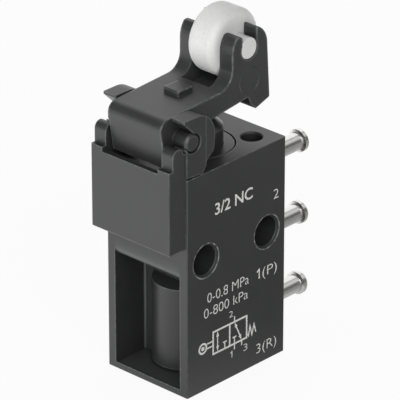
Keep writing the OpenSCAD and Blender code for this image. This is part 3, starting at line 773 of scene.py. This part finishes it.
class VALVE_OT_printing(bpy.types.Operator):
    """Print the port numbers, the pressure range and the valve symbol on the label side"""

    bl_idname = "valve.printing"
    bl_label = "Printed marks"

    def execute(self, context):
        marks = context.scene.valve_marks
        ink = pad_ink("pad ink", tuple(finishes().ink_colour))
        tall, small = marks.text_height / MM, marks.small_text_height / MM
        light, bold = -0.012, 0.012
        # Piece, words, left end, base line, height and width in millimetres, and weight
        for name, words, left, base, height, width, weight in (
                ("print_function", "3/2 NC", -5.2, 31.2, 2.1, 9.0, bold),
                ("print_port_2", "2", 8.85, 29.05, tall, 1.25, light),
                ("print_port_1", "(P)", 6.3, 15.75, tall, 3.5, light),
                ("print_port_3", "3(R)", 4.9, 1.95, tall, 4.9, light),
                ("print_range_mpa", "0-0.8 MPa", -7.0, 15.85, tall, 10.0, light),
                ("print_range_kpa", "0-800 kPa", -7.8, 13.2, tall, 10.6, light),
                ("print_symbol_2", "2", -1.75, 11.15, small, 0.9, light),
                ("print_symbol_3", "3", 1.75, 3.65, small * 1.1, 0.95, light)):
            mesh = printed_text(name, words, left * MM, base * MM, height * MM, width * MM,
                                weight, marks.ink_height)
            new_piece(name, mesh, ink, "housing")
        self.print_symbol(marks, ink)
        self.print_ones(marks, ink)
        return {"FINISHED"}

    def print_ones(self, marks, ink):
        """Figure 1 with a flag, at port 1 and under the symbol"""
        stroke, flag_reach, flag_foot = 0.14, 0.3, 0.72
        for name, y, z, height in (
                ("print_port_1_figure", 5.5 * MM, 15.75 * MM, marks.text_height),
                ("print_symbol_1", -1.05 * MM, 3.6 * MM, marks.small_text_height)):
            sheet = InkSheet(marks.ink_height)
            width = height * stroke
            flag = (y - height * flag_reach, z + height * flag_foot)
            sheet.line([flag, (y, z + height - width / 2), (y, z)], width)
            sheet.piece(name, ink)

    def print_symbol(self, marks, ink):
        """Standard symbol of a 3/2-way valve worked by a roller and returned by a spring"""
        sheet = InkSheet(marks.ink_height)
        box, fine = marks.box_line, marks.fine_line
        half, hair = box / 2, 0.002 * MM
        left, middle, right = -5.6 * MM, -1.61 * MM, 2.5 * MM
        bottom, top = 5.95 * MM, 10.0 * MM
        head_length, head_half = 1.0 * MM, 0.33 * MM
        flow_y, vent_high_y, vent_low_y = -4.53 * MM, -0.42 * MM, 1.25 * MM
        stop_z, stop_half, left_stop_y, port_y = 7.2 * MM, 0.46 * MM, -2.8 * MM, -0.45 * MM
        port_2_end, port_1_end = 11.05 * MM, 4.9 * MM
        port_3_y, port_3_end = 1.3 * MM, 5.0 * MM
        push_end, push_sides = -7.1 * MM, (7.53 * MM, 8.4 * MM)
        spring_z = 6.55 * MM
        spring = ((2.95, 6.1), (3.3, 7.8), (3.8, 6.05), (4.3, 7.75), (4.75, 6.2))
        roller, roller_out, roller_in = (-8.07 * MM, 7.88 * MM), 1.04 * MM, 0.68 * MM
        pin, pin_steps = 0.38 * MM, 24

        def arrow(tip, tail):
            tip, tail = Vector(tip), Vector(tail)
            along = (tip - tail).normalized()
            across = Vector((-along.y, along.x)) * head_half
            neck = tip - along * head_length
            sheet.slab([tip, neck + across, neck - across])
            return neck

        def upright(y, foot, head):
            sheet.line([(y, foot), (y, head)], fine)

        for z in (bottom, top):
            sheet.line([(left - half, z), (right + half, z)], box)
        for y in (left, middle, right):
            sheet.line([(y, bottom + half + hair), (y, top - half - hair)], box)
        low_neck = arrow((flow_y, bottom + half), (flow_y, top))
        high_neck = arrow((flow_y, top - half), (flow_y, bottom))
        sheet.line([low_neck, high_neck], fine)
        start, end = (vent_high_y, top - half), (vent_low_y, bottom + half)
        sheet.line([arrow(start, end), arrow(end, start)], fine)
        for y in (left_stop_y, port_y):
            upright(y, bottom + half, stop_z - fine / 2)
            sheet.line([(y - stop_half, stop_z), (y + stop_half, stop_z)], fine)
        upright(port_y, top + half, port_2_end)
        upright(port_y, bottom - half, port_1_end)
        upright(port_3_y, bottom - half, port_3_end)
        for z in push_sides:
            sheet.line([(push_end, z), (left - half, z)], fine)
        turns = [(y * MM, z * MM) for y, z in spring]
        sheet.line([(right + half, spring_z)] + turns, fine)
        sheet.ring(roller, roller_out, roller_in)
        sheet.slab(circle(roller, pin, pin_steps))
        sheet.piece("print_symbol", ink)


class VALVE_OT_studio(bpy.types.Operator):
    """Set up the floor, the lamps, the surroundings and the camera"""

    bl_idname = "valve.studio"
    bl_label = "Studio"

    def execute(self, context):
        studio = context.scene.valve_studio
        self.floor(studio)
        front = self.lamp(
            "front lamp", studio.front_power, place=(-0.30, -0.68, 0.13), width=0.70, height=0.25)
        front.visible_glossy = False
        self.lamp(
            "back lamp", studio.back_power, place=(-0.46, 0.50, 0.42), width=0.90, height=0.90)
        self.lamp(
            "side lamp", studio.side_power, place=(0.70, -0.50, 0.50), width=0.90, height=0.90)
        self.surroundings(context.scene, studio)
        self.camera(context.scene, studio)
        context.scene.view_settings.view_transform = "Standard"
        return {"FINISHED"}

    def floor(self, studio):
        """White to the camera; to shiny pieces bright at the front and left, dim at the right"""
        half = studio.floor_size / 2
        corners = [(-half, -half, 0), (half, -half, 0), (half, half, 0), (-half, half, 0)]
        floor = bpy.data.objects.new("floor", mesh_from("floor", corners, [(0, 1, 2, 3)]))
        bpy.context.scene.collection.objects.link(floor)
        colour = tuple(studio.floor_colour)
        white, bright, dim = (1.0, 1.0, 1.0), (1.35, 1.35, 1.35), (0.30, 0.30, 0.30)
        seen_share = 0.92
        paper = Finish("floor paper")
        fibre = paper.noise(scale=0.02, detail=2.0)
        paper.set(
            base_color=paper.mix(fibre, tint(colour, 0.99), tint(colour, 1.01)), roughness=0.9)
        seen, shiny = paper.ray("Is Camera Ray"), paper.ray("Is Glossy Ray")
        x, y, _ = paper.axes()
        left = x.least(0.0)
        right = x.most(0.0) * y.ramp(start=-22.0, rate=0.07)
        sweep = (0.5 - (left + right) * 0.020 - y * 0.008).clamped()
        behind = (y - x * 1.07).ramp(start=14.0, rate=0.0070)
        mirrored = paper.mix(sweep.most(behind), dim, bright)
        glow = paper.node(
            "ShaderNodeEmission", None,
            {"Color": paper.mix(seen, mirrored, white), "Strength": 1.0})
        surface = Value(paper.tree, paper.surface.outputs[0])
        mixed = paper.mix_shaders((seen * seen_share + shiny).clamped(), surface, glow)
        feed(paper.tree, paper.tree.nodes["Material Output"].inputs["Surface"], mixed)
        floor.data.materials.append(paper.material)

    def lamp(self, name, power, place, width, height):
        """Oblong lamp that points at the valve"""
        valve_middle = Vector((0, 0, 0.03))
        light = bpy.data.lights.new(name, "AREA")
        light.shape = "RECTANGLE"
        light.size = width
        light.size_y = height
        light.energy = power
        lamp = bpy.data.objects.new(name, light)
        lamp.location = place
        aim = valve_middle - Vector(place)
        lamp.rotation_euler = aim.to_track_quat("-Z", "Y").to_euler()
        bpy.context.scene.collection.objects.link(lamp)
        return lamp

    def surroundings(self, scene, studio):
        """White to the camera; to shiny pieces dim at the back, with a bright patch high up"""
        dark_level, dark_share, patch_share = 0.05, 0.5, 0.8
        world = bpy.data.worlds.new("studio")
        scene.world = world
        world.use_nodes = True
        sky = Shading(world.node_tree)
        seen, shiny = sky.ray("Is Camera Ray"), sky.ray("Is Glossy Ray")
        x, y, z = sky.split(sky.node("ShaderNodeTexCoord", out="Generated"))
        back = shiny * y.ramp(start=0.3, rate=5.0)
        patch = z.ramp(start=0.40, rate=7.0) * x.ramp(start=0.02, rate=6.0)
        dim, white, dark = (
            sky.node("ShaderNodeBackground", None, {"Color": (1, 1, 1), "Strength": strength})
            for strength in (studio.ambient, 1.0, dark_level))
        horizon = sky.mix_shaders(back * (1.0 - patch) * dark_share, dim, dark)
        mixed = sky.mix_shaders((seen + back * patch * patch_share).clamped(), horizon, white)
        feed(sky.tree, sky.tree.nodes["World Output"].inputs["Surface"], mixed)

    def camera(self, scene, studio):
        data = bpy.data.cameras.new("camera")
        data.lens = studio.lens
        data.sensor_width = 36.0
        data.clip_start = 0.01
        camera = bpy.data.objects.new("camera", data)
        right, up = CAMERA_RIGHT.normalized(), CAMERA_UP.normalized()
        back = right.cross(up).normalized()
        place = CAMERA_AIM + back * CAMERA_DISTANCE
        camera.matrix_world = Matrix((
            (right.x, up.x, back.x, place.x),
            (right.y, up.y, back.y, place.y),
            (right.z, up.z, back.z, place.z),
            (0, 0, 0, 1)))
        scene.collection.objects.link(camera)
        scene.camera = camera


class VALVE_PT_panel(bpy.types.Panel):
    """Lists the valve's steps as buttons, and its sizes and colours"""

    bl_idname = "VALVE_PT_panel"
    bl_label = "Air valve"
    bl_space_type = "VIEW_3D"
    bl_region_type = "UI"
    bl_category = "Air valve"

    def draw(self, context):
        for operator in OPERATORS:
            self.layout.operator(operator.bl_idname)
        for name in GROUPS:
            group = getattr(context.scene, name)
            column = self.layout.column()
            for key in group.__annotations__:
                column.prop(group, key)


GROUPS = {
    "valve_finishes": ValveFinishes,
    "valve_marks": ValveMarks,
    "valve_studio": ValveStudio,
}
OPERATORS = (
    VALVE_OT_mouldings,
    VALVE_OT_roller,
    VALVE_OT_metals,
    VALVE_OT_seals,
    VALVE_OT_springs,
    VALVE_OT_printing,
    VALVE_OT_studio,
)


def register():
    for name, group in GROUPS.items():
        bpy.utils.register_class(group)
        setattr(bpy.types.Scene, name, bpy.props.PointerProperty(type=group))
    for cls in (*OPERATORS, VALVE_PT_panel):
        bpy.utils.register_class(cls)


def unregister():
    for cls in (VALVE_PT_panel, *reversed(OPERATORS)):
        bpy.utils.unregister_class(cls)
    for name, group in GROUPS.items():
        delattr(bpy.types.Scene, name)
        bpy.utils.unregister_class(group)


def main():
    register()
    bpy.ops.valve.mouldings()
    bpy.ops.valve.roller()
    bpy.ops.valve.metals()
    bpy.ops.valve.seals()
    bpy.ops.valve.springs()
    bpy.ops.valve.printing()
    bpy.ops.valve.studio()


if __name__ == "__main__":
    main()
